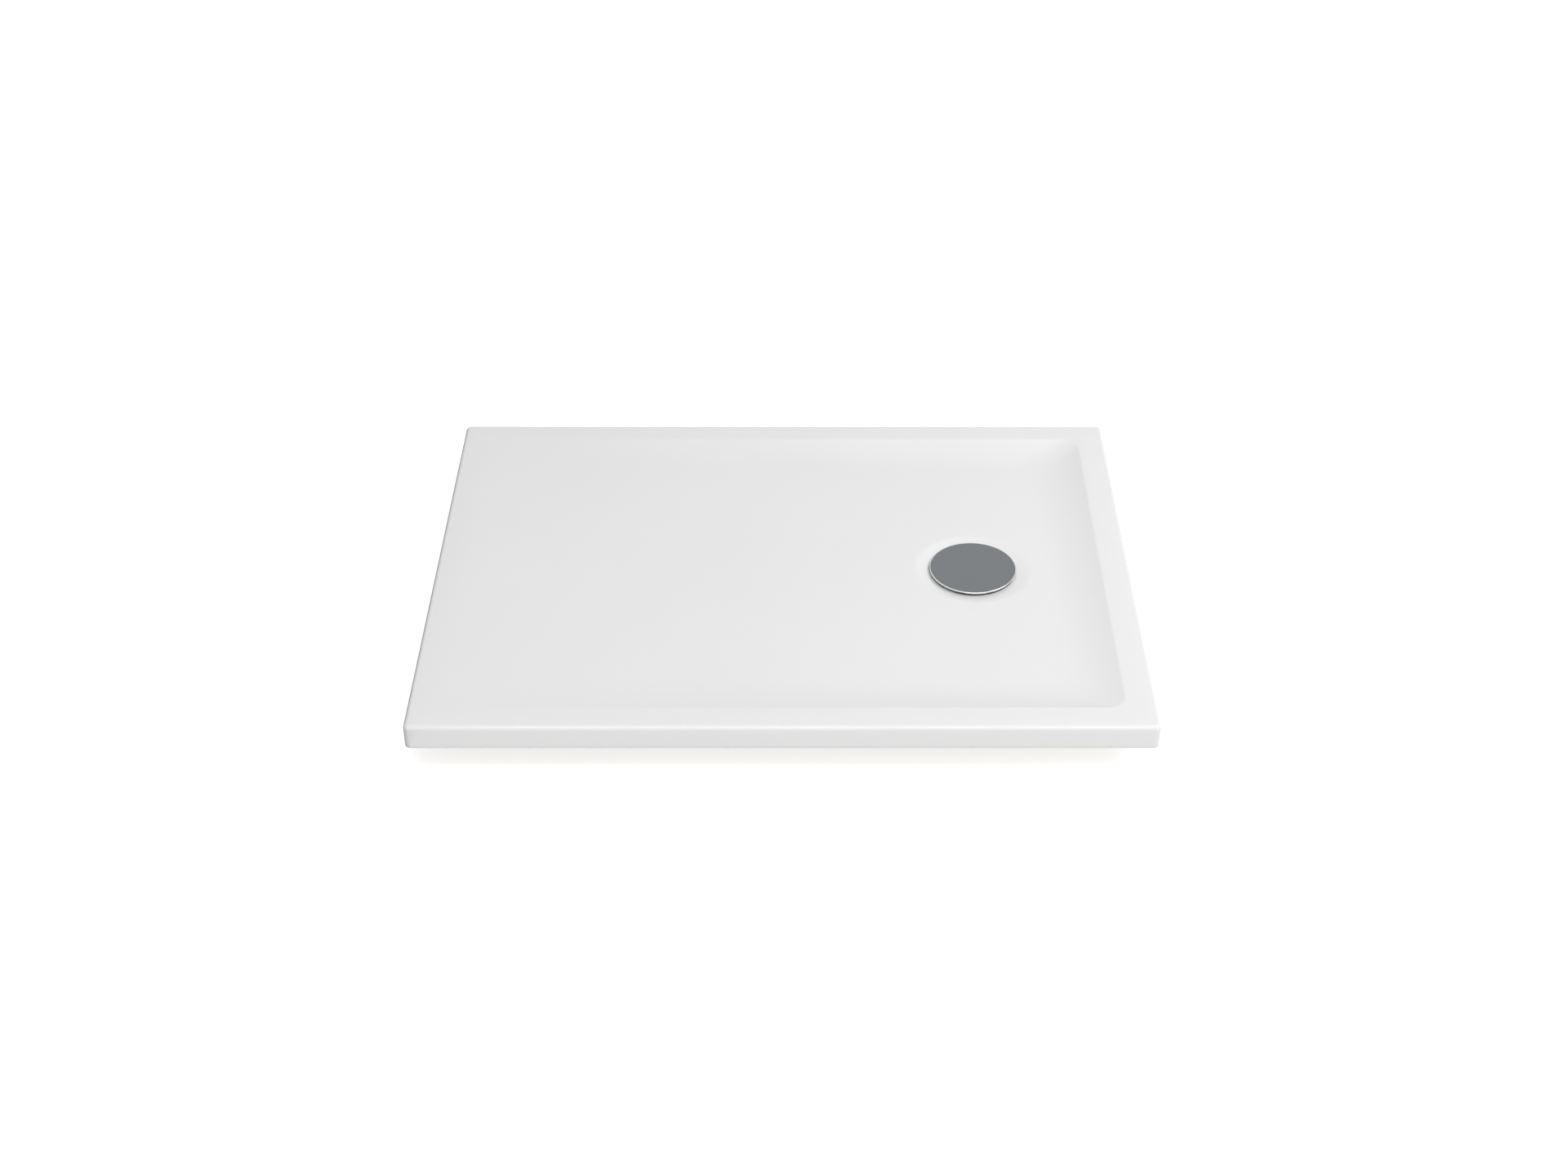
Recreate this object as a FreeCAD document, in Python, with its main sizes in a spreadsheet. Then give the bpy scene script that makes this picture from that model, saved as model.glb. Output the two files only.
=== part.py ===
import FreeCAD, Part
import math
import os
import Sketcher
from types import SimpleNamespace

# A low rectangular shower tray: a thin acrylic shell whose floor falls from a flush left
# edge to a drain near the right edge, carried on a levelled frame, with its round waste.
# Millimetres. X runs along the tray, Y to the back, Z up. The origin is on the floor that
# the tray stands on, under the tray's centre.

Vector = FreeCAD.Vector
Rotation = FreeCAD.Rotation
LAID_TO_END = Rotation(Vector(0, 1, 0), 90)  # lays an upright piece so that its top points along X
BACK_TO_END = Rotation(Vector(0, 0, 1), -90)  # turns a piece that faces the back so that it faces along X

SIZES = {
    # tray
    "tray_length": 1200.0,
    "tray_width": 900.0,
    "tray_height": 43.0,
    "clear_height": 70.0,  # free height under the tray's lower edge
    "plan_corner_radius": 10.0,
    "top_edge_radius": 8.0,
    "ledge_width": 50.0,
    "floor_fall": 0.015,  # drop of the floor for each millimetre along it
    "end_wall_run": 95.0,  # width of the curved wall at the drain's end
    "side_wall_run": 80.0,  # width of the curved walls at front and back
    "rim_corner_radius": 30.0,
    "foot_corner_radius": 46.0,  # where the walls meet the floor
    "acrylic": 4.0,
    "laminate": 3.0,
    "laminate_setback": 3.0,  # the laminate ends above the skirt's lower edge
    # drain in the floor
    "drain_from_end": 270.0,
    "dish_diameter": 196.0,
    "dish_depth": 5.0,
    "dish_floor_diameter": 150.0,
    "flange_recess": 4.0,
    "waste_hole": 90.0,
    # timber under the shell
    "board_thickness": 12.0,
    "board_end_gap": 15.0,  # from the foot of the slope and of the end wall to the board
    "board_side_gap": 10.0,
    "board_cutout": 204.0,
    "batten_width": 34.0,
    "batten_depth": 20.0,
    "batten_gap": 2.0,  # bedding resin between a batten and the skirt
    "packer_width": 90.0,
    "packer_thin_end": 3.0,
    # steel rails
    "rail_end_gap": 150.0,  # from the tray's end to a rail's end
    "rail_from_side": 185.0,  # from the tray's side to a rail's middle
    "rail_depth": 20.0,
    "rail_web_width": 40.0,
    "rail_lip": 20.0,
    "rail_sheet": 1.5,
    "rail_screw_end_gap": 40.0,
    "rail_screw_columns": 5.0,
    "rail_screw_diameter": 4.0,
    "rail_screw_length": 11.0,
    "rail_screw_head": 9.0,
    "rail_screw_head_face": 6.3,
    "rail_screw_head_height": 2.2,
    "rail_screw_head_bevel": 1.3,
    # feet
    "foot_end_gap": 180.0,  # from the tray's end to the first foot
    "stud_diameter": 10.0,
    "stud_top_gap": 4.0,  # from a stud's top to the packer above it
    "stud_collar_diameter": 14.0,
    "stud_collar_height": 3.0,
    "stud_neck_diameter": 8.0,
    "stud_hex": 13.0,
    "stud_hex_height": 6.0,
    "stud_hex_gap": 0.5,  # between the pad and the stud's spanner flats
    "stud_tip": 1.0,
    "pad_diameter": 48.0,
    "pad_height": 14.0,
    "pad_edge_height": 5.0,
    "pad_crown_diameter": 22.0,
    "pad_floor": 4.0,
    "sole_thickness": 3.0,
    "sole_diameter": 44.0,
    "sole_recess": 1.5,
    "nut_hex": 17.0,
    "nut_height": 8.0,
    "insert_diameter": 14.0,
    "insert_length": 11.0,
    "insert_flange_diameter": 19.0,
    "insert_flange": 1.5,
    # waste: seals, flange and screws
    "flange_diameter": 116.0,
    "flange_sheet": 1.5,
    "flange_neck_diameter": 88.0,
    "flange_ring": 2.0,
    "flange_opening": 66.0,
    "upper_seal": 2.0,
    "lower_seal": 3.0,
    "seal_hole": 92.0,
    "flange_screw_circle": 75.6,
    "flange_screw_diameter": 4.0,
    "flange_screw_head": 7.4,
    "flange_screw_length": 16.0,
    "flange_screw_count": 4.0,
    # cross recess for the driver, in the heads of all the screws
    "driver_recess": 3.2,
    "driver_groove": 0.9,
    "driver_depth": 1.4,
    # waste: trap body
    "trap_diameter": 116.0,
    "trap_flange_overhang": 3.0,
    "trap_depth": 68.0,
    "trap_wall": 3.0,
    "trap_top_plate": 4.0,
    "trap_bottom_bevel": 8.0,
    "boss_diameter": 9.0,
    "boss_length": 14.0,
    "cup_ring_height": 5.0,
    "cup_ring_thickness": 2.1,
    "outlet_rise": 22.0,  # from the trap's inner floor to the outlet's axis
    "outlet_bore": 35.6,
    "outlet_socket_diameter": 56.0,
    "outlet_reach": 100.0,  # from the drain's axis to the ball's centre
    "socket_depth": 17.0,
    "socket_mouth": 2.0,
    "socket_overlap": 10.0,  # how far the socket's root reaches into the trap's wall
    "socket_bore": 49.8,
    # waste: loose pieces in the trap
    "cup_diameter": 62.0,
    "cup_wall": 2.0,
    "cup_height": 43.0,
    "tube_diameter": 42.0,
    "tube_wall": 1.7,
    "tube_gap": 8.0,  # under the dip tube, inside the cup
    "funnel_drop": 5.0,
    "tube_rim_diameter": 80.0,
    "tube_rim": 2.0,
    "plug_diameter": 65.2,
    "plug_depth": 9.8,
    "plug_bore": 57.2,
    "ring_section": 2.3,
    "ring_groove_depth": 2.0,
    "ring_groove_width": 3.0,
    "sieve_diameter": 71.0,
    "sieve_sheet": 1.2,
    "sieve_collar": 3.0,
    "sieve_slots": 12.0,
    "sieve_slot_width": 3.0,
    "sieve_slot_length": 15.0,
    "sieve_slot_start": 10.0,
    "knob_diameter": 9.0,
    "knob_waist_diameter": 6.3,
    "knob_height": 7.0,
    "knob_widest_height": 4.2,
    # waste: cover
    "cover_diameter": 150.0,
    "cover_below_rim": 10.7,
    "cover_sheet": 1.4,
    "cover_skirt": 2.6,
    "cover_skirt_thickness": 1.6,
    "cover_edge_radius": 0.7,
    "cover_overhang": 3.0,  # from the wall of the recess in the dish to the cover's edge
    "carrier_ring_height": 2.5,
    "carrier_inner": 66.0,
    "carrier_outer": 79.6,
    "carrier_legs": 3.0,
    "carrier_leg_width": 12.0,
    "carrier_leg_depth": 3.4,
    # waste: outlet
    "ball_diameter": 49.0,
    "pipe_diameter": 40.0,
    "pipe_reach": 82.0,  # from the ball's centre to the pipe's end
    "pipe_chamfer": 1.2,
    "ball_tail": 15.0,
    "nut_outer": 66.0,
    "nut_skirt": 14.0,
    "nut_nose": 12.0,
    "nut_bevel": 4.0,
    "nut_rib_count": 12.0,
    "nut_rib_width": 4.0,
    "nut_rib_height": 1.2,
    # clearances
    "thread_clearance": 0.05,
    "socket_clearance": 0.3,
    "cup_clearance": 0.4,
    "screw_hole_clearance": 0.4,
    "form_overrun": 20.0,  # how far a cutting form stands above the surface that it cuts
    "floor_overrun": 50.0,  # how far the floor's form runs out past the tray's left edge
}

LOFT_STEPS = 4  # sections of the basin's lofted walls, less one
HEX_SLOPE = math.tan(math.radians(30))
SEAT_ANGLE = math.radians(28)  # of the outlet seal's cone
NOSE_ANGLE = math.radians(22)  # of the cone in the outlet nut's nose

doc = FreeCAD.newDocument("shower_tray")
sheet = doc.addObject("Spreadsheet::Sheet", "Sizes")
for row, (alias, number) in enumerate(SIZES.items(), 1):
    sheet.set(f"A{row}", alias)
    sheet.set(f"B{row}", str(number))
    sheet.setAlias(f"B{row}", alias)
doc.recompute()


class Size:
    """A length that knows both its value and its expression in the sheet's aliases."""

    def __init__(self, value, text):
        self.value = float(value)
        self.text = text

    def __add__(self, other):
        other = as_size(other)
        return Size(self.value + other.value, f"({self.text} + {other.text})")

    def __sub__(self, other):
        other = as_size(other)
        return Size(self.value - other.value, f"({self.text} - {other.text})")

    def __mul__(self, other):
        other = as_size(other)
        return Size(self.value * other.value, f"({self.text} * {other.text})")

    def __truediv__(self, other):
        other = as_size(other)
        return Size(self.value / other.value, f"({self.text} / {other.text})")

    def __neg__(self):
        return Size(-self.value, f"(-1 * {self.text})")


def as_size(number):
    if isinstance(number, Size):
        return number
    return Size(number, f"{float(number):.10f}")


def chord(radius, offset):
    """Half the chord of a circle at this offset from its centre."""
    value = math.sqrt(radius.value**2 - offset.value**2)
    return Size(value, f"sqrt({radius.text} * {radius.text} - {offset.text} * {offset.text})")


mm = SimpleNamespace(**{name: Size(number, f"Sizes.{name}") for name, number in SIZES.items()})
ZERO = as_size(0)

# Levels and places that several pieces share
rim_level = mm.clear_height + mm.tray_height
skirt_level = mm.clear_height
half_length = mm.tray_length / 2
half_width = mm.tray_width / 2
fall_start = mm.ledge_width - half_length
wall_foot = half_length - mm.ledge_width - mm.end_wall_run
drain_x = half_length - mm.drain_from_end
shell = mm.acrylic + mm.laminate
floor_at_drain = rim_level - mm.floor_fall * (drain_x - fall_start)
dish_floor = floor_at_drain - mm.dish_depth
seat_level = dish_floor - mm.flange_recess
under_seat = seat_level - shell
trap_top = under_seat - mm.lower_seal
trap_bottom = trap_top - mm.trap_depth
trap_floor = trap_bottom + mm.trap_wall
outlet_level = trap_floor + mm.outlet_rise
board_start = fall_start + mm.board_end_gap
board_finish = wall_foot - mm.board_end_gap


def board_underside(x):
    return rim_level - shell - mm.board_thickness - mm.floor_fall * (x - fall_start)


packer_level = board_underside(board_finish) - mm.packer_thin_end
rail_bottom = packer_level - mm.rail_depth
rail_row = half_width - mm.rail_from_side
rail_rows = (-rail_row, rail_row)
foot_column = half_length - mm.foot_end_gap
foot_columns = (-foot_column, ZERO, foot_column)
screw_line = (mm.rail_web_width + mm.rail_lip) / 2
last_screw = half_length - mm.rail_end_gap - mm.rail_screw_end_gap
screw_steps = SIZES["rail_screw_columns"] - 1
screw_columns = [last_screw * (2 * step / screw_steps - 1) for step in range(int(screw_steps) + 1)]
board_half_width = half_width - mm.ledge_width - mm.side_wall_run - mm.board_side_gap
trap_flange = mm.trap_diameter / 2 + mm.trap_flange_overhang
flange_under = seat_level + mm.upper_seal
ring_top = trap_top + mm.flange_ring
rim_top = ring_top + mm.tube_rim
ring_level = trap_top - mm.trap_top_plate / 2
cover_top = rim_level - mm.cover_below_rim
cover_under = cover_top - mm.cover_sheet

nodes = []


def keep(piece):
    """Marks a finished piece as one of the kept nodes."""
    nodes.append(piece)
    return piece


def new_body(name):
    return doc.addObject("PartDesign::Body", name)


def origin_feature(body, role):
    return [item for item in body.Origin.OriginFeatures if item.Role == role][0]


def new_sketch(body, name, role, offset=ZERO):
    """A sketch on one of the body's own origin planes, moved along the plane's normal."""
    sketch = body.newObject("Sketcher::SketchObject", name)
    sketch.AttachmentSupport = (origin_feature(body, role), [""])
    sketch.MapMode = "FlatFace"
    sketch.AttachmentOffset = FreeCAD.Placement(Vector(0, 0, offset.value), Rotation())
    sketch.setExpression("AttachmentOffset.Base.z", offset.text)
    return sketch


def pin(sketch, kind, index, point, size):
    """Holds one coordinate of a point, from the sketch's origin, to a size of the sheet."""
    if size.value == 0:
        axis = -2 if kind == "DistanceX" else -1
        sketch.addConstraint(Sketcher.Constraint("PointOnObject", index, point, axis))
        return
    item = sketch.addConstraint(Sketcher.Constraint(kind, -1, 1, index, point, size.value))
    sketch.setExpression(f"Constraints[{item}]", size.text)


def add_outline(sketch, corners):
    """A closed outline through corners. A third entry in a corner is the radius of an arc,
    centred on the sketch's origin, that runs from that corner to the next."""
    first = sketch.GeometryCount
    spots = [Vector(corner[0].value, corner[1].value, 0) for corner in corners]
    ends = []
    for start, finish, corner in zip(spots, spots[1:] + spots[:1], corners):
        if len(corner) == 2:
            index = sketch.addGeometry(Part.LineSegment(start, finish), False)
        else:
            middle = (start + finish).normalize() * corner[2].value
            index = sketch.addGeometry(Part.Arc(start, middle, finish), False)
        forward = (sketch.Geometry[index].StartPoint - start).Length < 1e-6
        ends.append((index, 1, 2) if forward else (index, 2, 1))
    for this, following in zip(ends, ends[1:] + ends[:1]):
        joint = Sketcher.Constraint("Coincident", this[0], this[2], following[0], following[1])
        sketch.addConstraint(joint)
    for number, corner in enumerate(corners):
        index, point, _ = ends[number]
        if len(corners[number - 1]) == 2:
            pin(sketch, "DistanceX", index, point, corner[0])
        pin(sketch, "DistanceY", index, point, corner[1])
        if len(corner) == 3:
            sketch.addConstraint(Sketcher.Constraint("Coincident", index, 3, -1, 1))


def add_circle(sketch, x, y, radius):
    centre = Vector(x.value, y.value, 0)
    index = sketch.addGeometry(Part.Circle(centre, Vector(0, 0, 1), radius.value), False)
    pin(sketch, "DistanceX", index, 3, x)
    pin(sketch, "DistanceY", index, 3, y)
    item = sketch.addConstraint(Sketcher.Constraint("Radius", index, radius.value))
    sketch.setExpression(f"Constraints[{item}]", radius.text)


def add_rectangle(sketch, low_x, high_x, low_y, high_y):
    add_outline(sketch, [(low_x, low_y), (high_x, low_y), (high_x, high_y), (low_x, high_y)])


def pad(body, sketch, length, reverse=False, both=False):
    feature = body.newObject("PartDesign::Pad", f"{body.Name}_pad")
    feature.Profile = sketch
    feature.SideType = "Symmetric" if both else "One side"
    feature.Length = length.value
    feature.setExpression("Length", length.text)
    feature.Reversed = reverse
    doc.recompute()
    return feature


def pocket(body, sketch, length=None, reverse=False):
    """Cuts to a length, or with none given right through the body both ways."""
    before = body.Shape.Volume
    feature = body.newObject("PartDesign::Pocket", f"{body.Name}_pocket")
    feature.Profile = sketch
    if length is None:
        feature.SideType = "Symmetric"
        feature.Type = "ThroughAll"
    else:
        feature.SideType = "One side"
        feature.Length = length.value
        feature.setExpression("Length", length.text)
    feature.Reversed = reverse
    doc.recompute()
    if body.Shape.Volume >= before - 1e-6:
        raise RuntimeError(f"a pocket of {body.Label} cuts nothing")
    return feature


def revolve(body, sketch, kind="PartDesign::Revolution"):
    feature = body.newObject(kind, f"{body.Name}_turn")
    feature.Profile = sketch
    feature.ReferenceAxis = (sketch, ["V_Axis"])
    feature.Angle = 360
    doc.recompute()
    return feature


def repeat_round(body, feature, count):
    """Repeats a feature round the body's upright axis."""
    pattern = body.newObject("PartDesign::PolarPattern", f"{feature.Name}_round")
    pattern.Originals = [feature]
    pattern.Axis = (origin_feature(body, "Z_Axis"), [""])
    pattern.Angle = 360
    pattern.Occurrences = int(count.value)
    pattern.setExpression("Occurrences", count.text)
    body.Tip = pattern
    doc.recompute()
    return pattern


def place(piece, x=ZERO, y=ZERO, z=ZERO, turn=Rotation()):
    """Puts a finished piece at its place, which stays bound to the sheet."""
    piece.Placement = FreeCAD.Placement(Vector(x.value, y.value, z.value), turn)
    for axis, size in (("x", x), ("y", y), ("z", z)):
        piece.setExpression(f"Placement.Base.{axis}", size.text)
    return piece


def turned(name, corners):
    """A piece turned about an upright axis from half of its section: radius, then height."""
    body = new_body(name)
    sketch = new_sketch(body, f"{name}_section", "XZ_Plane")
    add_outline(sketch, corners)
    revolve(body, sketch)
    return body


def ring_section(inner, outer, low, high):
    return [(inner, low), (outer, low), (outer, high), (inner, high)]


def hexagon(across_flats):
    half = across_flats / 2
    short = half * HEX_SLOPE
    tall = short * 2
    return [(half, -short), (half, short), (ZERO, tall), (-half, short), (-half, -short), (ZERO, -tall)]


def group(name, piece, places):
    """Identical pieces as separate solids in one node; the pattern piece itself isn't kept."""
    node = doc.addObject("Part::Feature", name)
    node.Shape = Part.makeCompound([piece.Shape.translated(spot) for spot in places])
    return keep(node)


# ---------------------------------------------------------------- tray shell and laminate


def tray_block(name, inset, bottom):
    """The tray's outer block, set in by a wall's thickness, with its corners and top edge
    rounded as much less."""
    body = new_body(name)
    sketch = new_sketch(body, f"{name}_plan", "XY_Plane", bottom)
    half_x = half_length - inset
    half_y = half_width - inset
    add_rectangle(sketch, -half_x, half_x, -half_y, half_y)
    pad(body, sketch, rim_level - inset - bottom)
    fillet(body, f"{name}_corners", is_upright, mm.plan_corner_radius - inset)
    level = body.Shape.BoundBox.ZMax
    fillet(body, f"{name}_top_edge", lambda edge: lies_at(edge, level), mm.top_edge_radius - inset)
    return body


def fillet(body, name, wanted, radius):
    """Rounds the edges of the body so far that the test wants."""
    base = body.Tip
    names = [f"Edge{n}" for n, edge in enumerate(base.Shape.Edges, 1) if wanted(edge)]
    feature = body.newObject("PartDesign::Fillet", name)
    feature.Base = (base, names)
    feature.Radius = radius.value
    feature.setExpression("Radius", radius.text)
    doc.recompute()
    return feature


def is_upright(edge):
    box = edge.BoundBox
    return box.XLength < 1e-6 and box.YLength < 1e-6


def lies_at(edge, level):
    box = edge.BoundBox
    return abs(box.ZMin - level) < 1e-6 and abs(box.ZMax - level) < 1e-6


def sunken_form(sections, top):
    """A solid for cutting a hollow: a smooth loft down through the sections, closed by a
    flat floor and carried straight up from the first section to a level top."""
    faces = list(Part.makeLoft(sections, False, False).Faces)
    faces.append(Part.Face(sections[-1]))
    rim = sections[0]
    lid = rim.copy()
    lid.translate(Vector(0, 0, top - rim.BoundBox.ZMin))
    flat_lid = flattened(lid, top)
    faces.append(Part.Face(flat_lid))
    faces += Part.makeRuledSurface(rim, flat_lid).Faces
    skin = Part.makeShell(faces)
    skin.sewShape()
    solid = Part.makeSolid(skin)
    if solid.Volume < 0:
        solid.reverse()
    return solid


def sheared(wire, level, slope, start):
    """Lays a plan outline on the plane that passes through level at start and falls with X."""
    lean = FreeCAD.Matrix()
    lean.A31 = -slope
    lean.A34 = level + slope * start
    return wire.transformGeometry(lean)


def flattened(wire, level):
    squash = FreeCAD.Matrix()
    squash.A33 = 0
    squash.A34 = level
    return wire.transformGeometry(squash)


def basin_outline(depth_share):
    """The basin's plan outline where its wall has come down by this share of its run: a
    rectangle with its two right-hand corners rounded, open-ended past the tray's left edge."""
    right = half_length.value - SIZES["ledge_width"] - depth_share * SIZES["end_wall_run"]
    side = half_width.value - SIZES["ledge_width"] - depth_share * SIZES["side_wall_run"]
    left = fall_start.value - SIZES["ledge_width"] - SIZES["floor_overrun"]
    rim_radius = SIZES["rim_corner_radius"]
    radius = rim_radius + depth_share * (SIZES["foot_corner_radius"] - rim_radius)
    bulge = radius * (1 - math.sqrt(0.5))
    spots = [
        Vector(left, -side),
        Vector(right - radius, -side),
        Vector(right - bulge, -side + bulge),
        Vector(right, -side + radius),
        Vector(right, side - radius),
        Vector(right - bulge, side - bulge),
        Vector(right - radius, side),
        Vector(left, side),
    ]
    edges = [
        Part.LineSegment(spots[0], spots[1]),
        Part.Arc(spots[1], spots[2], spots[3]),
        Part.LineSegment(spots[3], spots[4]),
        Part.Arc(spots[4], spots[5], spots[6]),
        Part.LineSegment(spots[6], spots[7]),
        Part.LineSegment(spots[7], spots[0]),
    ]
    return Part.Wire([edge.toShape() for edge in edges])


def basin_form(drop):
    """The hollow over the floor: its bottom falls with X, and its walls come down to it on a
    parabola that meets the floor without a crease."""
    sections = []
    for step in range(LOFT_STEPS + 1):
        run_share = step / LOFT_STEPS
        depth_share = 1 - (1 - run_share) ** 2
        slope = depth_share * SIZES["floor_fall"]
        outline = basin_outline(run_share)
        sections.append(sheared(outline, rim_level.value - drop, slope, fall_start.value))
    return sunken_form(sections, rim_level.value + SIZES["form_overrun"])


def dish_form(drop):
    """The shallow round dish: its edge lies on the sloping floor, its bottom is level."""
    middle = Vector(drain_x.value, 0, 0)
    edge = Part.Wire(Part.makeCircle(SIZES["dish_diameter"] / 2, middle))
    foot = Part.Wire(Part.makeCircle(SIZES["dish_floor_diameter"] / 2, middle))
    edge = sheared(edge, rim_level.value - drop, SIZES["floor_fall"], fall_start.value)
    foot = sheared(foot, dish_floor.value - drop, 0, 0)
    return sunken_form([edge, foot], rim_level.value + SIZES["form_overrun"])


def form(name, shape):
    feature = doc.addObject("Part::Feature", name)
    feature.Shape = shape
    return feature


def cylinder(name, radius, low, high, x=ZERO):
    feature = doc.addObject("Part::Cylinder", name)
    feature.setExpression("Radius", radius.text)
    feature.setExpression("Height", (high - low).text)
    return place(feature, x=x, z=low)


def cut(name, base, tools):
    """Cuts the tools away one after another; the last result carries the name."""
    for number, tool in enumerate(tools, 1):
        last = number == len(tools)
        result = doc.addObject("Part::Cut", name if last else f"{name}_{number}")
        result.Base = base
        result.Tool = tool
        base = result
    doc.recompute()
    return base


def hollowed_block(name, inset, bottom):
    """The outer block with the basin, the dish and the recess under the cover let into its
    top. An inset block is set in and down by the same thickness all over."""
    recess_radius = mm.cover_diameter / 2 - mm.cover_overhang + inset
    recess = cylinder(f"{name}_recess", recess_radius, seat_level - inset, rim_level, drain_x)
    basin = form(f"{name}_basin", basin_form(inset.value))
    dish = form(f"{name}_dish", dish_form(inset.value))
    block = tray_block(f"{name}_block", inset, bottom)
    return cut(name, block, [basin, dish, recess])


def make_shell():
    low = skirt_level - mm.form_overrun
    drain = cylinder("drain_hole", mm.waste_hole / 2, low, rim_level, drain_x)
    outer = hollowed_block("outer_form", ZERO, skirt_level)
    inner = hollowed_block("inner_form", mm.acrylic, low)
    keep(cut("tray_shell", outer, [inner, drain]))
    lining = hollowed_block("lining_form", mm.acrylic, skirt_level + mm.laminate_setback)
    space = hollowed_block("space_form", shell, low)
    keep(cut("glass_fibre_backing", lining, [space, drain]))


# ---------------------------------------------------------------- timber


def make_board():
    """The base board lies along the floor's slope, with an opening for the waste."""
    body = new_body("base_board")
    section = new_sketch(body, "base_board_section", "XZ_Plane")
    corners = [
        (board_start, board_underside(board_start)),
        (board_finish, board_underside(board_finish)),
        (board_finish, board_underside(board_finish) + mm.board_thickness),
        (board_start, board_underside(board_start) + mm.board_thickness),
    ]
    add_outline(section, corners)
    pad(body, section, board_half_width * 2, both=True)
    opening = new_sketch(body, "base_board_opening", "XY_Plane")
    add_circle(opening, drain_x, ZERO, mm.board_cutout / 2)
    pocket(body, opening)
    keep(body)


def edge_batten(name, low_x, high_x, low_y, high_y):
    body = new_body(name)
    top = rim_level - shell
    plan = new_sketch(body, f"{name}_plan", "XY_Plane", top - mm.batten_depth)
    add_rectangle(plan, low_x, high_x, low_y, high_y)
    pad(body, plan, mm.batten_depth)
    keep(body)


def make_edge_battens():
    """Battens under the ledges, bedded between the skirt and the walls of the basin."""
    outer_x = half_length - shell - mm.batten_gap
    outer_y = half_width - shell - mm.batten_gap
    inner_x = outer_x - mm.batten_width
    inner_y = outer_y - mm.batten_width
    edge_batten("edge_batten_front", -outer_x, outer_x, -outer_y, -inner_y)
    edge_batten("edge_batten_back", -outer_x, outer_x, inner_y, outer_y)
    edge_batten("edge_batten_left", -outer_x, -inner_x, -inner_y, inner_y)
    edge_batten("edge_batten_right", inner_x, outer_x, -inner_y, inner_y)


def make_packer(name, row):
    """A tapered packer between the sloping board and a level rail."""
    body = new_body(name)
    section = new_sketch(body, f"{name}_section", "XZ_Plane")
    corners = [
        (board_start, packer_level),
        (board_finish, packer_level),
        (board_finish, board_underside(board_finish)),
        (board_start, board_underside(board_start)),
    ]
    add_outline(section, corners)
    pad(body, section, mm.packer_width, both=True)
    keep(place(body, y=row))


# ---------------------------------------------------------------- rails


def make_rail(name, row):
    """A folded steel rail of hat section, lips up against the packer, with holes in its web
    for the feet and in its lips for the screws."""
    body = new_body(name)
    section = new_sketch(body, f"{name}_section", "YZ_Plane")
    web = mm.rail_web_width / 2
    wall = web - mm.rail_sheet
    lip = web + mm.rail_lip
    web_top = rail_bottom + mm.rail_sheet
    lip_bottom = packer_level - mm.rail_sheet
    right_side = [
        (web, rail_bottom),
        (web, lip_bottom),
        (lip, lip_bottom),
        (lip, packer_level),
        (wall, packer_level),
        (wall, web_top),
    ]
    left_side = [(-y, z) for y, z in reversed(right_side)]
    add_outline(section, right_side + left_side)
    pad(body, section, (half_length - mm.rail_end_gap) * 2, both=True)
    holes = new_sketch(body, f"{name}_holes", "XY_Plane")
    for column in foot_columns:
        add_circle(holes, column, ZERO, mm.insert_diameter / 2)
    for column in screw_columns:
        for side in (-screw_line, screw_line):
            add_circle(holes, column, side, mm.rail_screw_diameter / 2 + mm.screw_hole_clearance)
    pocket(body, holes)
    keep(place(body, y=row))


def cut_driver_recess(screw, face, reverse=False):
    """The driver's cross: two equal grooves at right angles in the head's face."""
    long = mm.driver_recess / 2
    narrow = mm.driver_groove / 2
    for name, half_x, half_y in (("first", long, narrow), ("second", narrow, long)):
        groove = new_sketch(screw, f"{screw.Name}_{name}_groove", "XY_Plane", face)
        add_rectangle(groove, -half_x, half_x, -half_y, half_y)
        pocket(screw, groove, mm.driver_depth, reverse)


def make_rail_screws():
    """Washer-head wood screws through the rails' lips into the packers and the board."""
    head = mm.rail_screw_head / 2
    shank = mm.rail_screw_diameter / 2
    seat = packer_level - mm.rail_sheet
    low = seat - mm.rail_screw_head_height
    tip = seat + mm.rail_screw_length
    corners = [
        (ZERO, low),
        (mm.rail_screw_head_face / 2, low),
        (head, low + mm.rail_screw_head_bevel),
        (head, seat),
        (shank, seat),
        (shank, tip - shank),
        (ZERO, tip),
    ]
    screw = turned("rail_screw", corners)
    cut_driver_recess(screw, low, reverse=True)
    spots = []
    for row in rail_rows:
        for side in (-screw_line, screw_line):
            for column in screw_columns:
                spots.append(Vector(column.value, (row + side).value, 0))
    group("rail_screws", screw, spots)


# ---------------------------------------------------------------- feet


def make_foot_hardware():
    """Threaded inserts riveted in the rails' webs, and the nuts that lock the studs."""
    bore = mm.stud_diameter / 2 + mm.thread_clearance
    barrel = mm.insert_diameter / 2
    flange = mm.insert_flange_diameter / 2
    web_top = rail_bottom + mm.rail_sheet
    corners = [
        (bore, rail_bottom),
        (barrel, rail_bottom),
        (barrel, web_top),
        (flange, web_top),
        (flange, web_top + mm.insert_flange),
        (barrel, web_top + mm.insert_flange),
        (barrel, rail_bottom + mm.insert_length),
        (bore, rail_bottom + mm.insert_length),
    ]
    insert = turned("thread_insert", corners)
    lock_nut = new_body("lock_nut")
    plan = new_sketch(lock_nut, "lock_nut_plan", "XY_Plane", rail_bottom)
    add_outline(plan, hexagon(mm.nut_hex))
    add_circle(plan, ZERO, ZERO, bore)
    pad(lock_nut, plan, mm.nut_height, reverse=True)
    spots = [Vector(column.value, row.value, 0) for row in rail_rows for column in foot_columns]
    group("thread_inserts", insert, spots)
    group("lock_nuts", lock_nut, spots)


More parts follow.
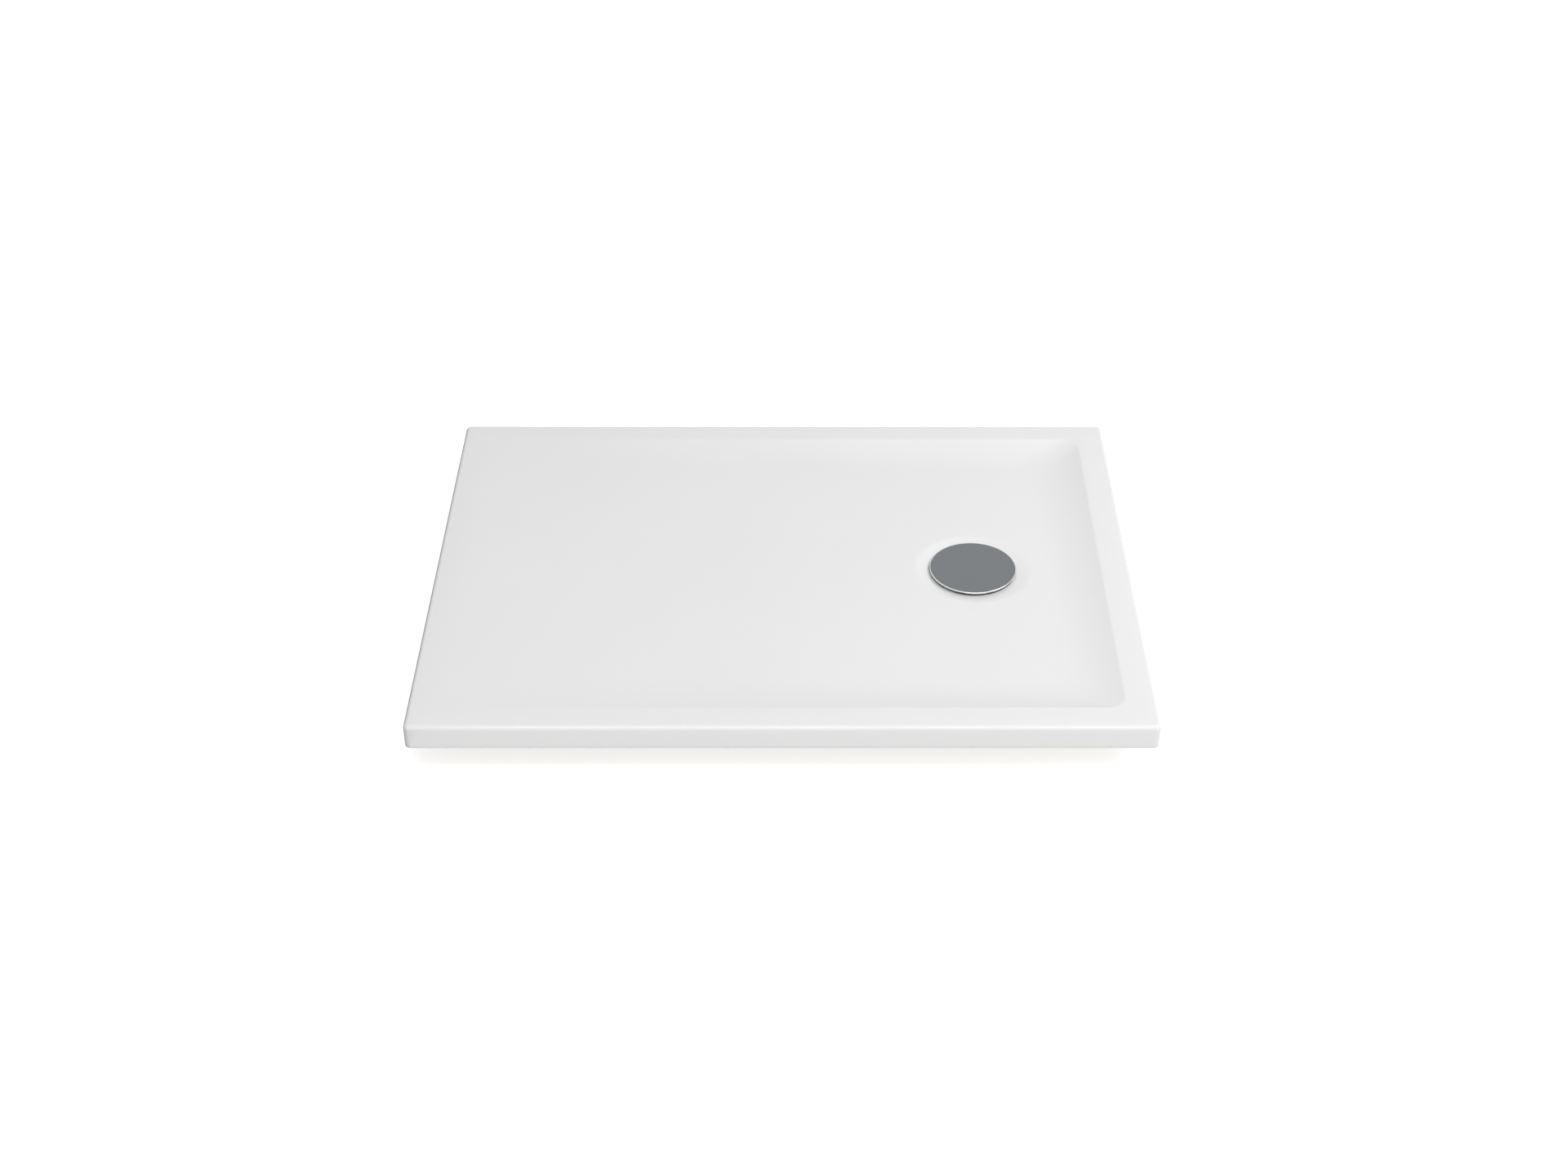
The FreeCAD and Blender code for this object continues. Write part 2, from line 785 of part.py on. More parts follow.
def make_foot(number, column, row):
    """A levelling foot: a threaded stud that turns in a plastic pad on a rubber sole."""
    pad_bottom = mm.sole_thickness - mm.sole_recess
    pad_top = pad_bottom + mm.pad_height
    rest = pad_bottom + mm.pad_floor
    collar_top = rest + mm.stud_collar_height
    hex_bottom = pad_top + mm.stud_hex_gap
    stud_top = packer_level - mm.stud_top_gap
    collar = mm.stud_collar_diameter / 2
    neck = mm.stud_neck_diameter / 2
    thread = mm.stud_diameter / 2
    gap = mm.socket_clearance

    stud_section = [
        (ZERO, rest),
        (collar, rest),
        (collar, collar_top),
        (neck, collar_top),
        (neck, hex_bottom),
        (thread, hex_bottom),
        (thread, stud_top - mm.stud_tip),
        (thread - mm.stud_tip, stud_top),
        (ZERO, stud_top),
    ]
    stud = turned(f"foot_stud_{number}", stud_section)
    flats = new_sketch(stud, f"foot_stud_{number}_flats", "XY_Plane", hex_bottom)
    add_outline(flats, hexagon(mm.stud_hex))
    pad(stud, flats, mm.stud_hex_height)
    keep(place(stud, x=column, y=row))

    outer = mm.pad_diameter / 2
    crown = mm.pad_crown_diameter / 2
    recess = mm.sole_diameter / 2 + gap
    pad_section = [
        (ZERO, mm.sole_thickness),
        (recess, mm.sole_thickness),
        (recess, pad_bottom),
        (outer, pad_bottom),
        (outer, pad_bottom + mm.pad_edge_height),
        (crown, pad_top),
        (neck + gap, pad_top),
        (neck + gap, collar_top + gap),
        (collar + gap, collar_top + gap),
        (collar + gap, rest),
        (ZERO, rest),
    ]
    keep(place(turned(f"foot_pad_{number}", pad_section), x=column, y=row))

    sole = [
        (ZERO, ZERO),
        (mm.sole_diameter / 2, ZERO),
        (mm.sole_diameter / 2, mm.sole_thickness),
        (ZERO, mm.sole_thickness),
    ]
    keep(place(turned(f"foot_sole_{number}", sole), x=column, y=row))


# ---------------------------------------------------------------- waste: fixed pieces


def make_seals():
    upper = ring_section(mm.seal_hole / 2, mm.flange_diameter / 2, seat_level, flange_under)
    keep(place(turned("upper_seal", upper), x=drain_x))
    lower = ring_section(mm.seal_hole / 2, trap_flange, trap_top, under_seat)
    keep(place(turned("lower_seal", lower), x=drain_x))


def make_flange():
    """The clamping flange: a pressed lip on the tray, a neck through the hole, and a ring on
    the trap with countersunk screw holes."""
    lip = mm.flange_diameter / 2
    neck = mm.flange_neck_diameter / 2
    opening = mm.flange_opening / 2
    section = [
        (opening, trap_top),
        (neck, trap_top),
        (neck, flange_under),
        (lip, flange_under),
        (lip, flange_under + mm.flange_sheet),
        (neck - mm.flange_sheet, flange_under + mm.flange_sheet),
        (neck - mm.flange_sheet, ring_top),
        (opening, ring_top),
    ]
    flange = turned("clamping_flange", section)
    spot = new_sketch(flange, "clamping_flange_hole_spot", "XY_Plane", ring_top)
    add_circle(spot, mm.flange_screw_circle / 2, ZERO, mm.flange_screw_diameter / 2)
    doc.recompute()
    before = flange.Shape.Volume
    hole = flange.newObject("PartDesign::Hole", "clamping_flange_hole")
    hole.Profile = spot
    hole.DepthType = "ThroughAll"
    hole.Diameter = (mm.flange_screw_diameter + mm.screw_hole_clearance).value
    hole.setExpression("Diameter", (mm.flange_screw_diameter + mm.screw_hole_clearance).text)
    hole.HoleCutType = "Countersink"
    hole.HoleCutCustomValues = True
    hole.HoleCutDiameter = (mm.flange_screw_head + mm.screw_hole_clearance).value
    hole.setExpression("HoleCutDiameter", (mm.flange_screw_head + mm.screw_hole_clearance).text)
    hole.HoleCutCountersinkAngle = 90
    doc.recompute()
    if flange.Shape.Volume >= before:
        raise RuntimeError("the flange's screw hole cuts nothing")
    repeat_round(flange, hole, mm.flange_screw_count)
    keep(place(flange, x=drain_x))


def make_flange_screws():
    head = mm.flange_screw_head / 2
    shank = mm.flange_screw_diameter / 2
    tip = ring_top - mm.flange_screw_length
    section = [
        (ZERO, tip),
        (shank, tip),
        (shank, ring_top - (head - shank)),
        (head, ring_top),
        (ZERO, ring_top),
    ]
    screw = turned("flange_screw", section)
    cut_driver_recess(screw, ring_top)
    spots = []
    count = int(SIZES["flange_screw_count"])
    for number in range(count):
        turn = 2 * math.pi * number / count
        circle = SIZES["flange_screw_circle"] / 2
        spots.append(Vector(drain_x.value + circle * math.cos(turn), circle * math.sin(turn), 0))
    group("flange_screws", screw, spots)


def make_trap_body():
    """The moulded trap: a deep bowl under a top plate, with screw bosses, a ring that holds
    the cup, and a socket for the outlet's ball. It is made with its socket to the back."""
    body = new_body("trap_body")
    outer = mm.trap_diameter / 2
    inner = outer - mm.trap_wall
    opening = mm.flange_opening / 2
    plate = trap_top - mm.trap_top_plate
    bevel = mm.trap_bottom_bevel
    cup_fit = mm.cup_diameter / 2 + mm.cup_clearance
    outline = new_sketch(body, "trap_body_outline", "XZ_Plane")
    add_outline(
        outline,
        [
            (ZERO, trap_bottom),
            (outer - bevel, trap_bottom),
            (outer, trap_bottom + bevel),
            (outer, plate),
            (trap_flange, plate),
            (trap_flange, trap_top),
            (ZERO, trap_top),
        ],
    )
    revolve(body, outline)
    # the XZ plane's normal points to the front, so the back is negative
    socket_root = outer - mm.socket_overlap
    socket_end = mm.outlet_reach + mm.socket_mouth
    stub = new_sketch(body, "trap_body_stub", "XZ_Plane", -socket_root)
    add_circle(stub, ZERO, outlet_level, mm.outlet_socket_diameter / 2)
    pad(body, stub, socket_end - socket_root, reverse=True)
    hollow = new_sketch(body, "trap_body_hollow", "XZ_Plane")
    add_outline(
        hollow,
        [
            (ZERO, trap_floor),
            (cup_fit, trap_floor),
            (cup_fit, trap_floor + mm.cup_ring_height),
            (cup_fit + mm.cup_ring_thickness, trap_floor + mm.cup_ring_height),
            (cup_fit + mm.cup_ring_thickness, trap_floor),
            (inner - bevel, trap_floor),
            (inner, trap_floor + bevel),
            (inner, plate),
            (opening, plate),
            (opening, trap_top),
            (ZERO, trap_top),
        ],
    )
    before = body.Shape.Volume
    revolve(body, hollow, "PartDesign::Groove")
    if body.Shape.Volume >= before:
        raise RuntimeError("the trap's hollow cuts nothing")
    bore = new_sketch(body, "trap_body_bore", "XZ_Plane")
    add_circle(bore, ZERO, outlet_level, mm.outlet_bore / 2)
    pocket(body, bore, socket_end, reverse=False)
    mouth = new_sketch(body, "trap_body_mouth", "XZ_Plane", -socket_end)
    add_circle(mouth, ZERO, outlet_level, mm.socket_bore / 2)
    pocket(body, mouth, mm.socket_depth + mm.socket_mouth, reverse=True)
    boss = new_sketch(body, "trap_body_boss", "XY_Plane", plate)
    add_circle(boss, mm.flange_screw_circle / 2, ZERO, mm.boss_diameter / 2)
    boss_pad = pad(body, boss, mm.boss_length, reverse=True)
    repeat_round(body, boss_pad, mm.flange_screw_count)
    pilot = new_sketch(body, "trap_body_pilot", "XY_Plane", trap_top)
    thread = mm.flange_screw_diameter / 2 + mm.thread_clearance
    add_circle(pilot, mm.flange_screw_circle / 2, ZERO, thread)
    pilot_cut = pocket(body, pilot, mm.flange_screw_length)
    repeat_round(body, pilot_cut, mm.flange_screw_count)
    keep(place(body, x=drain_x, turn=BACK_TO_END))


# ---------------------------------------------------------------- waste: loose pieces


def make_cup():
    radius = mm.cup_diameter / 2
    wall = mm.cup_wall
    top = trap_floor + mm.cup_height
    section = [
        (ZERO, trap_floor),
        (radius - wall, trap_floor),
        (radius, trap_floor + wall),
        (radius, top),
        (radius - wall, top),
        (radius - wall, trap_floor + wall),
        (ZERO, trap_floor + wall),
    ]
    keep(place(turned("trap_cup", section), x=drain_x))


def make_dip_tube():
    """The dip tube: a rim on the flange, a plug with a groove for its sealing ring, and a
    funnel into the tube that reaches down into the cup."""
    rim = mm.tube_rim_diameter / 2
    plug = mm.plug_diameter / 2
    bore = mm.plug_bore / 2
    outer = mm.tube_diameter / 2
    inner = outer - mm.tube_wall
    groove = plug - mm.ring_groove_depth
    half_groove = mm.ring_groove_width / 2
    plug_end = ring_top - mm.plug_depth
    low = trap_floor + mm.cup_wall + mm.tube_gap
    section = [
        (rim, rim_top),
        (rim, ring_top),
        (plug, ring_top),
        (plug, ring_level + half_groove),
        (groove, ring_level + half_groove),
        (groove, ring_level - half_groove),
        (plug, ring_level - half_groove),
        (plug, plug_end),
        (outer, plug_end - mm.funnel_drop),
        (outer, low),
        (inner, low),
        (inner, plug_end - mm.funnel_drop + mm.tube_wall),
        (bore, plug_end + mm.tube_wall),
        (bore, rim_top),
    ]
    keep(place(turned("dip_tube", section), x=drain_x))


def make_sealing_ring():
    body = new_body("dip_tube_o_ring")
    section = new_sketch(body, "dip_tube_o_ring_section", "XZ_Plane")
    radius = mm.ring_section / 2
    centre = mm.plug_diameter / 2 - mm.ring_groove_depth + radius
    add_circle(section, centre, ring_level, radius)
    revolve(body, section)
    keep(place(body, x=drain_x))


def make_sieve():
    """A hair sieve: a thin disc with radial slots, a knob to lift it by, and a collar."""
    sheet_top = rim_top + mm.sieve_sheet
    knob = mm.knob_diameter / 2
    knob_waist = mm.knob_waist_diameter / 2
    collar = mm.plug_bore / 2 - mm.socket_clearance
    section = [
        (ZERO, rim_top),
        (collar - mm.sieve_sheet, rim_top),
        (collar - mm.sieve_sheet, rim_top - mm.sieve_collar),
        (collar, rim_top - mm.sieve_collar),
        (collar, rim_top),
        (mm.sieve_diameter / 2, rim_top),
        (mm.sieve_diameter / 2, sheet_top),
        (knob_waist, sheet_top),
        (knob, sheet_top + mm.knob_widest_height),
        (knob_waist, sheet_top + mm.knob_height),
        (ZERO, sheet_top + mm.knob_height),
    ]
    sieve = turned("hair_sieve", section)
    slot = new_sketch(sieve, "hair_sieve_slot", "XY_Plane", sheet_top)
    start = mm.sieve_slot_start
    half = mm.sieve_slot_width / 2
    add_rectangle(slot, start, start + mm.sieve_slot_length, -half, half)
    slot_cut = pocket(sieve, slot, mm.sieve_sheet)
    repeat_round(sieve, slot_cut, mm.sieve_slots)
    keep(place(sieve, x=drain_x))


def make_cover():
    """A pressed metal disc with a turned-down edge, and under it the moulded carrier whose
    legs stand on the dip tube's rim and leave the water a gap."""
    radius = mm.cover_diameter / 2
    skirt = radius - mm.cover_skirt_thickness
    section = [
        (ZERO, cover_under),
        (skirt, cover_under),
        (skirt, cover_top - mm.cover_skirt),
        (radius, cover_top - mm.cover_skirt),
        (radius, cover_top),
        (ZERO, cover_top),
    ]
    cover = turned("drain_cover", section)
    level = cover.Shape.BoundBox.ZMax
    fillet(cover, "drain_cover_edge", lambda edge: lies_at(edge, level), mm.cover_edge_radius)
    keep(place(cover, x=drain_x))

    outer = mm.carrier_outer / 2
    ring_low = cover_under - mm.carrier_ring_height
    carrier = turned("cover_carrier", ring_section(mm.carrier_inner / 2, outer, ring_low, cover_under))
    leg = new_sketch(carrier, "cover_carrier_leg", "XY_Plane", ring_low)
    half = mm.carrier_leg_width / 2
    far = chord(outer, half)
    add_rectangle(leg, outer - mm.carrier_leg_depth, far, -half, half)
    leg_pad = pad(carrier, leg, ring_low - rim_top, reverse=True)
    repeat_round(carrier, leg_pad, mm.carrier_legs)
    keep(place(carrier, x=drain_x))


# ---------------------------------------------------------------- waste: outlet


def on_outlet(piece):
    """Lays an upright piece along the outlet, its origin at the ball's centre."""
    return keep(place(piece, x=drain_x + mm.outlet_reach, z=outlet_level, turn=LAID_TO_END))


def make_outlet():
    """The ball-jointed outlet: the pipe's ball turns between a rubber seal in the socket and
    the nose of the nut screwed over the socket."""
    ball = mm.ball_diameter / 2
    pipe = mm.pipe_diameter / 2
    bore = mm.outlet_bore / 2
    nest = ball + mm.socket_clearance
    shoulder = chord(ball, pipe)
    tail = -mm.ball_tail
    pipe_section = [
        (bore, tail),
        (chord(ball, mm.ball_tail), tail, ball),
        (pipe, shoulder),
        (pipe, mm.pipe_reach - mm.pipe_chamfer),
        (pipe - mm.pipe_chamfer, mm.pipe_reach),
        (bore, mm.pipe_reach),
    ]
    on_outlet(turned("outlet_pipe", pipe_section))

    # the seal's cone touches the ball's running gap where the ball faces it at SEAT_ANGLE
    seal_outer = mm.socket_bore / 2 - mm.thread_clearance
    seal_foot = (nest - mm.socket_depth * math.sin(SEAT_ANGLE)) / math.cos(SEAT_ANGLE)
    seal_lip = (nest - seal_outer * math.cos(SEAT_ANGLE)) / math.sin(SEAT_ANGLE)
    seal_section = [
        (seal_foot, -mm.socket_depth),
        (seal_outer, -mm.socket_depth),
        (seal_outer, -seal_lip),
    ]
    on_outlet(turned("outlet_seal", seal_section))

    thread = mm.outlet_socket_diameter / 2 + mm.thread_clearance
    outer = mm.nut_outer / 2
    stop = mm.socket_mouth + mm.socket_clearance
    nose = mm.nut_nose
    nut_section = [
        (thread, -mm.nut_skirt),
        (outer, -mm.nut_skirt),
        (outer, nose - mm.nut_bevel),
        (outer - mm.nut_bevel, nose),
        ((nest - nose * math.sin(NOSE_ANGLE)) / math.cos(NOSE_ANGLE), nose),
        ((nest - stop * math.sin(NOSE_ANGLE)) / math.cos(NOSE_ANGLE), stop),
        (thread, stop),
    ]
    nut = turned("outlet_nut", nut_section)
    rib = new_sketch(nut, "outlet_nut_rib", "XY_Plane", -mm.nut_skirt)
    half = mm.nut_rib_width / 2
    add_rectangle(rib, outer - mm.nut_rib_height, outer + mm.nut_rib_height, -half, half)
    rib_pad = pad(nut, rib, mm.nut_skirt + nose - mm.nut_bevel)
    repeat_round(nut, rib_pad, mm.nut_rib_count)
    on_outlet(nut)


# ---------------------------------------------------------------- the whole tray

make_shell()
make_board()
make_edge_battens()
for name, row in zip(("front", "back"), rail_rows):
    make_packer(f"tapered_packer_{name}", row)
    make_rail(f"rail_{name}", row)
make_rail_screws()
make_foot_hardware()
places = [(column, row) for row in rail_rows for column in foot_columns]
for number, (column, row) in enumerate(places, 1):
    make_foot(number, column, row)
make_seals()
make_flange()
make_flange_screws()
make_trap_body()
make_cup()
make_dip_tube()
make_sealing_ring()
make_sieve()
make_cover()
make_outlet()
doc.recompute()

for item in doc.Objects:
    if "Invalid" in item.State or "Error" in item.State:
        raise RuntimeError(f"{item.Label} failed: {item.State}")
for piece in nodes:
    if piece.Shape.isNull() or not piece.Shape.isValid():
        raise RuntimeError(f"{piece.Label} has no valid shape")

os.makedirs("parts", exist_ok=True)
for piece in nodes:
    piece.Shape.exportStep(f"parts/{piece.Label}.step")
print(len(nodes), "pieces")
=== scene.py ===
import math

import bpy
import numpy as np
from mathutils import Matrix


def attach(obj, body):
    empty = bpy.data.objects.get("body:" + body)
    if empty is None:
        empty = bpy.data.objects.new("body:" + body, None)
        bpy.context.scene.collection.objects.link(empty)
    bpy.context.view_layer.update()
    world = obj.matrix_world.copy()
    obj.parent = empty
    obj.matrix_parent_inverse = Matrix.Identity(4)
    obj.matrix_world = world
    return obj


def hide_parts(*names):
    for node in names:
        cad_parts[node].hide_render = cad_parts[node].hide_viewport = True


# Looks of a low rectangular shower tray. Metres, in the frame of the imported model: X along
# the tray towards the drain's end, Y to the back, Z up, the floor at zero.

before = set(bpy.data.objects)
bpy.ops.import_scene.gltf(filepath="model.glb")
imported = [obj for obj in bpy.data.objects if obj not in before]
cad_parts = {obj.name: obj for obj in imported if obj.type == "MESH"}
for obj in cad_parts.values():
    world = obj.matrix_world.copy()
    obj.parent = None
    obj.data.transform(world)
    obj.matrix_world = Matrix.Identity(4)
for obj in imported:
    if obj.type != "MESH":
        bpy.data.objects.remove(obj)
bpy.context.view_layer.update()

MM = 0.001
# the shell
RIM = 113 * MM  # top of the ledges
SKIRT = 70 * MM  # lower edge of the apron
HALF_LENGTH = 600 * MM
HALF_WIDTH = 450 * MM
LEDGE = 50 * MM
SHEET = 4 * MM
PLAN_CORNER = 10 * MM
TOP_EDGE = 8 * MM
LIP_EDGE = 0.8 * MM
LEAST_CORNER = 1.2 * MM  # radius that a set-in outline's corner keeps
# the basin
FALL = 0.015
FALL_START = -550 * MM
END_RUN = 95 * MM  # width of the wall at the drain's end
SIDE_RUN = 80 * MM
SHALLOW_RUN = 40 * MM
RIM_CORNER = 30 * MM
FOOT_CORNER = 46 * MM
SHALLOW_CORNER = 8 * MM
RIM_SOFTNESS = 0.025  # of the wall's run, over which the ledge bends into the wall
# the dish and the recess under the cover
DRAIN_X = 330 * MM
DISH = 98 * MM
DISH_FOOT = 75 * MM
DISH_FLOOR = 94.8 * MM
DISH_EDGE_SOFTNESS = 1.0 * MM
DISH_FOOT_SOFTNESS = 0.25 * MM
RECESS = 72 * MM
RECESS_DEPTH = 4 * MM
RECESS_CORNER = 1 * MM  # bend between the seat and the recess's wall
RECESS_RISE = 0.6 * MM
RECESS_LIP = 0.7 * MM  # bend between the recess's wall and the dish
RECESS_LIP_DROP = 0.1 * MM
HOLE = 45 * MM
# the cover
COVER_RADIUS = 75 * MM
COVER_TOP = 102.3 * MM
COVER_SHEET = 1.4 * MM
COVER_SKIRT = 2.6 * MM
COVER_SKIRT_THICKNESS = 1.6 * MM
COVER_EDGE = 1.1 * MM
COVER_CROWN = 0.05 * MM
COVER_ARRIS = 0.3 * MM
COVER_INSIDE_BEND = 0.5 * MM


# ---------------------------------------------------------------- materials


def linear(hex_code):
    """The linear colour of an sRGB hex value."""
    parts = [int(hex_code[i : i + 2], 16) / 255 for i in (1, 3, 5)]
    curve = [p / 12.92 if p <= 0.04045 else ((p + 0.055) / 1.055) ** 2.4 for p in parts]
    return (*curve, 1.0)


def add_node(tree, kind, settings=None, links=None, **values):
    """Adds a node, sets its properties and its sockets, and links sockets to it."""
    node = tree.nodes.new(kind)
    for key, value in (settings or {}).items():
        setattr(node, key, value)
    for key, value in values.items():
        node.inputs[key.replace("_", " ")].default_value = value
    for key, source in (links or {}).items():
        tree.links.new(source, node.inputs[key])
    return node


def new_material(name):
    """An empty material with its shader and the object's own coordinates."""
    material = bpy.data.materials.new(name)
    material.use_nodes = True
    tree = material.node_tree
    shader = tree.nodes["Principled BSDF"]
    place = add_node(tree, "ShaderNodeTexCoord").outputs["Object"]
    return material, tree, shader, place


def set_shader(shader, **values):
    """Sets the shader's sockets by name."""
    for key, value in values.items():
        shader.inputs[key.replace("_", " ")].default_value = value


def ramp_between(tree, source, low, high, low_colour, high_colour):
    """A colour that runs between two colours as the source runs from low to high."""
    ramp = add_node(tree, "ShaderNodeValToRGB", links={"Fac": source})
    ramp.color_ramp.elements[0].position = low
    ramp.color_ramp.elements[1].position = high
    ramp.color_ramp.elements[0].color = low_colour
    ramp.color_ramp.elements[1].color = high_colour
    return ramp.outputs["Color"]


def spread(tree, source, low, high):
    """A number that runs from low to high as the source runs from 0 to 1."""
    node = add_node(tree, "ShaderNodeMapRange", links={"Value": source}, To_Min=low, To_Max=high)
    return node.outputs["Result"]


def noise(tree, place, millimetres, detail=2.0):
    """Noise whose lumps are about this size."""
    scale = 1 / (millimetres * MM)
    node = add_node(tree, "ShaderNodeTexNoise", links={"Vector": place}, Scale=scale, Detail=detail)
    return node.outputs["Fac"]


def bump(tree, shader, height, millimetres, strength=1.0):
    """Relief of this depth from a height pattern."""
    depth = millimetres * MM
    node = add_node(
        tree, "ShaderNodeBump", links={"Height": height}, Strength=strength, Distance=depth
    )
    tree.links.new(node.outputs["Normal"], shader.inputs["Normal"])


def stretched(tree, place, x, y, z):
    """The coordinates scaled along each axis."""
    node = add_node(tree, "ShaderNodeMapping", links={"Vector": place}, Scale=(x, y, z))
    return node.outputs["Vector"]


def plain_finish(name, low, high, lump, roughness, relief, **values):
    """A finish whose colour, roughness and relief all follow one noise pattern."""
    material, tree, shader, place = new_material(name)
    pattern = noise(tree, place, lump, 3.0)
    colour = ramp_between(tree, pattern, 0.3, 0.7, linear(low), linear(high))
    tree.links.new(colour, shader.inputs["Base Color"])
    rough = spread(tree, pattern, *roughness)
    tree.links.new(rough, shader.inputs["Roughness"])
    bump(tree, shader, noise(tree, place, lump / 4), relief)
    set_shader(shader, **values)
    return material


# Vacuum-formed cast acrylic: bright white, a deep even gloss, and the faint slow waviness
# that a sheet keeps from the mould
def acrylic_finish():
    material, tree, shader, place = new_material("vacuum_formed_acrylic")
    cloud = noise(tree, place, 180, 1.0)
    colour = ramp_between(tree, cloud, 0.3, 0.7, linear("#F0F0F0"), linear("#F1F1F1"))
    tree.links.new(colour, shader.inputs["Base Color"])
    haze = noise(tree, place, 35, 3.0)
    tree.links.new(spread(tree, haze, 0.10, 0.16), shader.inputs["Roughness"])
    bump(tree, shader, noise(tree, place, 60, 1.0), 0.04, 0.3)
    set_shader(shader, IOR=1.49, Specular_IOR_Level=0.5)
    return material


# Fine-turned stainless steel, blasted to an even satin, with a faint turned grain round its
# centre. Its cool mid-grey is painted shade: the base colour is far darker than the same steel
# on the polished edge, and stands in for a dim surround mirrored in the cover's top
def shaded_satin_steel_finish():
    material, tree, shader, place = new_material("satin_stainless_steel_painted_shade")
    centred = add_node(
        tree, "ShaderNodeMapping", links={"Vector": place}, Location=(-DRAIN_X, 0, 0)
    ).outputs["Vector"]
    split = add_node(tree, "ShaderNodeSeparateXYZ", links={"Vector": centred})
    flat = add_node(
        tree,
        "ShaderNodeCombineXYZ",
        links={"X": split.outputs["X"], "Y": split.outputs["Y"]},
    ).outputs["Vector"]
    radius = add_node(
        tree, "ShaderNodeVectorMath", {"operation": "LENGTH"}, {0: flat}
    ).outputs["Value"]
    turns = add_node(tree, "ShaderNodeCombineXYZ", links={"X": radius}).outputs["Vector"]
    grain = noise(tree, turns, 0.9, 2.0)
    speckle = noise(tree, place, 1.6, 3.0)
    blend = add_node(
        tree, "ShaderNodeMath", {"operation": "MULTIPLY"}, {0: grain, 1: speckle}
    ).outputs["Value"]
    # painted shade: these dark greys stand in for a dim surround mirrored in the cover's top
    colour = ramp_between(tree, blend, 0.12, 0.40, linear("#797C7F"), linear("#828588"))
    tree.links.new(colour, shader.inputs["Base Color"])
    tree.links.new(spread(tree, grain, 0.34, 0.44), shader.inputs["Roughness"])
    bump(tree, shader, grain, 0.01, 0.4)
    set_shader(shader, Metallic=1.0)
    return material


# Sprayed glass-fibre laminate: a matte, lumpy, slightly green-yellow skin with fibres in it
def laminate_finish():
    material, tree, shader, place = new_material("glass_fibre_laminate")
    fibres = noise(tree, stretched(tree, place, 1.0, 6.0, 1.0), 9, 5.0)
    crossing = noise(tree, stretched(tree, place, 6.0, 1.0, 1.0), 9, 5.0)
    both = add_node(
        tree, "ShaderNodeMath", {"operation": "MULTIPLY"}, {0: fibres, 1: crossing}
    ).outputs["Value"]
    colour = ramp_between(tree, both, 0.12, 0.42, linear("#B5B59A"), linear("#D5D4BE"))
    tree.links.new(colour, shader.inputs["Base Color"])
    bump(tree, shader, both, 0.5, 0.6)
    set_shader(shader, Roughness=0.6)
    return material


# Particle board: pressed chips of many browns, dull
def chipboard_finish():
    material, tree, shader, place = new_material("chipboard")
    chips = add_node(
        tree, "ShaderNodeTexVoronoi", links={"Vector": place}, Scale=220.0, Randomness=1.0
    )
    shade = add_node(
        tree, "ShaderNodeSeparateColor", links={"Color": chips.outputs["Color"]}
    ).outputs["Red"]
    colour = ramp_between(tree, shade, 0.0, 1.0, linear("#A58255"), linear("#CDAE7F"))
    tree.links.new(colour, shader.inputs["Base Color"])
    bump(tree, shader, chips.outputs["Distance"], 0.25, 0.5)
    set_shader(shader, Roughness=0.75)
    return material


# Sawn spruce: pale wood with darker late rings that run along the piece
def softwood_finish(name, along_y):
    material, tree, shader, place = new_material(name)
    scale = (12.0, 1.0, 12.0) if along_y else (1.0, 12.0, 12.0)
    grain = noise(tree, stretched(tree, place, *scale), 60, 4.0)
    rings = add_node(
        tree, "ShaderNodeMath", {"operation": "FRACT"}, {0: spread(tree, grain, 0.0, 6.0)}
    ).outputs["Value"]
    colour = ramp_between(tree, rings, 0.1, 0.9, linear("#DCBE8E"), linear("#BE9560"))
    tree.links.new(colour, shader.inputs["Base Color"])
    bump(tree, shader, rings, 0.15, 0.4)
    set_shader(shader, Roughness=0.7)
    return material


# Hot-dip galvanised sheet: zinc crystals a few millimetres across, each with its own grey
def galvanised_finish():
    material, tree, shader, place = new_material("galvanised_steel")
    spangle = add_node(
        tree, "ShaderNodeTexVoronoi", links={"Vector": place}, Scale=140.0, Randomness=1.0
    )
    shade = add_node(
        tree, "ShaderNodeSeparateColor", links={"Color": spangle.outputs["Color"]}
    ).outputs["Red"]
    colour = ramp_between(tree, shade, 0.0, 1.0, linear("#8F9498"), linear("#B5B9BC"))
    tree.links.new(colour, shader.inputs["Base Color"])
    tree.links.new(spread(tree, shade, 0.32, 0.48), shader.inputs["Roughness"])
    set_shader(shader, Metallic=1.0)
    return material


# Zinc-plated steel screws, studs and nuts: bright with a bluish cast and fine tool marks
def zinc_finish():
    material, tree, shader, place = new_material("zinc_plated_steel")
    marks = noise(tree, stretched(tree, place, 1.0, 1.0, 8.0), 4, 2.0)
    colour = ramp_between(tree, marks, 0.3, 0.7, linear("#A9AEB2"), linear("#C3C6C8"))
    tree.links.new(colour, shader.inputs["Base Color"])
    tree.links.new(spread(tree, marks, 0.22, 0.36), shader.inputs["Roughness"])
    bump(tree, shader, marks, 0.03, 0.5)
    set_shader(shader, Metallic=1.0)
    return material


# Pressed stainless steel of the flange and the sieve: brighter than the cover, cold rolled
def pressed_steel_finish():
    material, tree, shader, place = new_material("pressed_stainless_steel")
    grain = noise(tree, stretched(tree, place, 1.0, 14.0, 14.0), 30, 3.0)
    colour = ramp_between(tree, grain, 0.3, 0.7, linear("#A7A7A5"), linear("#BCBCBA"))
    tree.links.new(colour, shader.inputs["Base Color"])
    tree.links.new(spread(tree, grain, 0.2, 0.3), shader.inputs["Roughness"])
    set_shader(shader, Metallic=1.0)
    return material


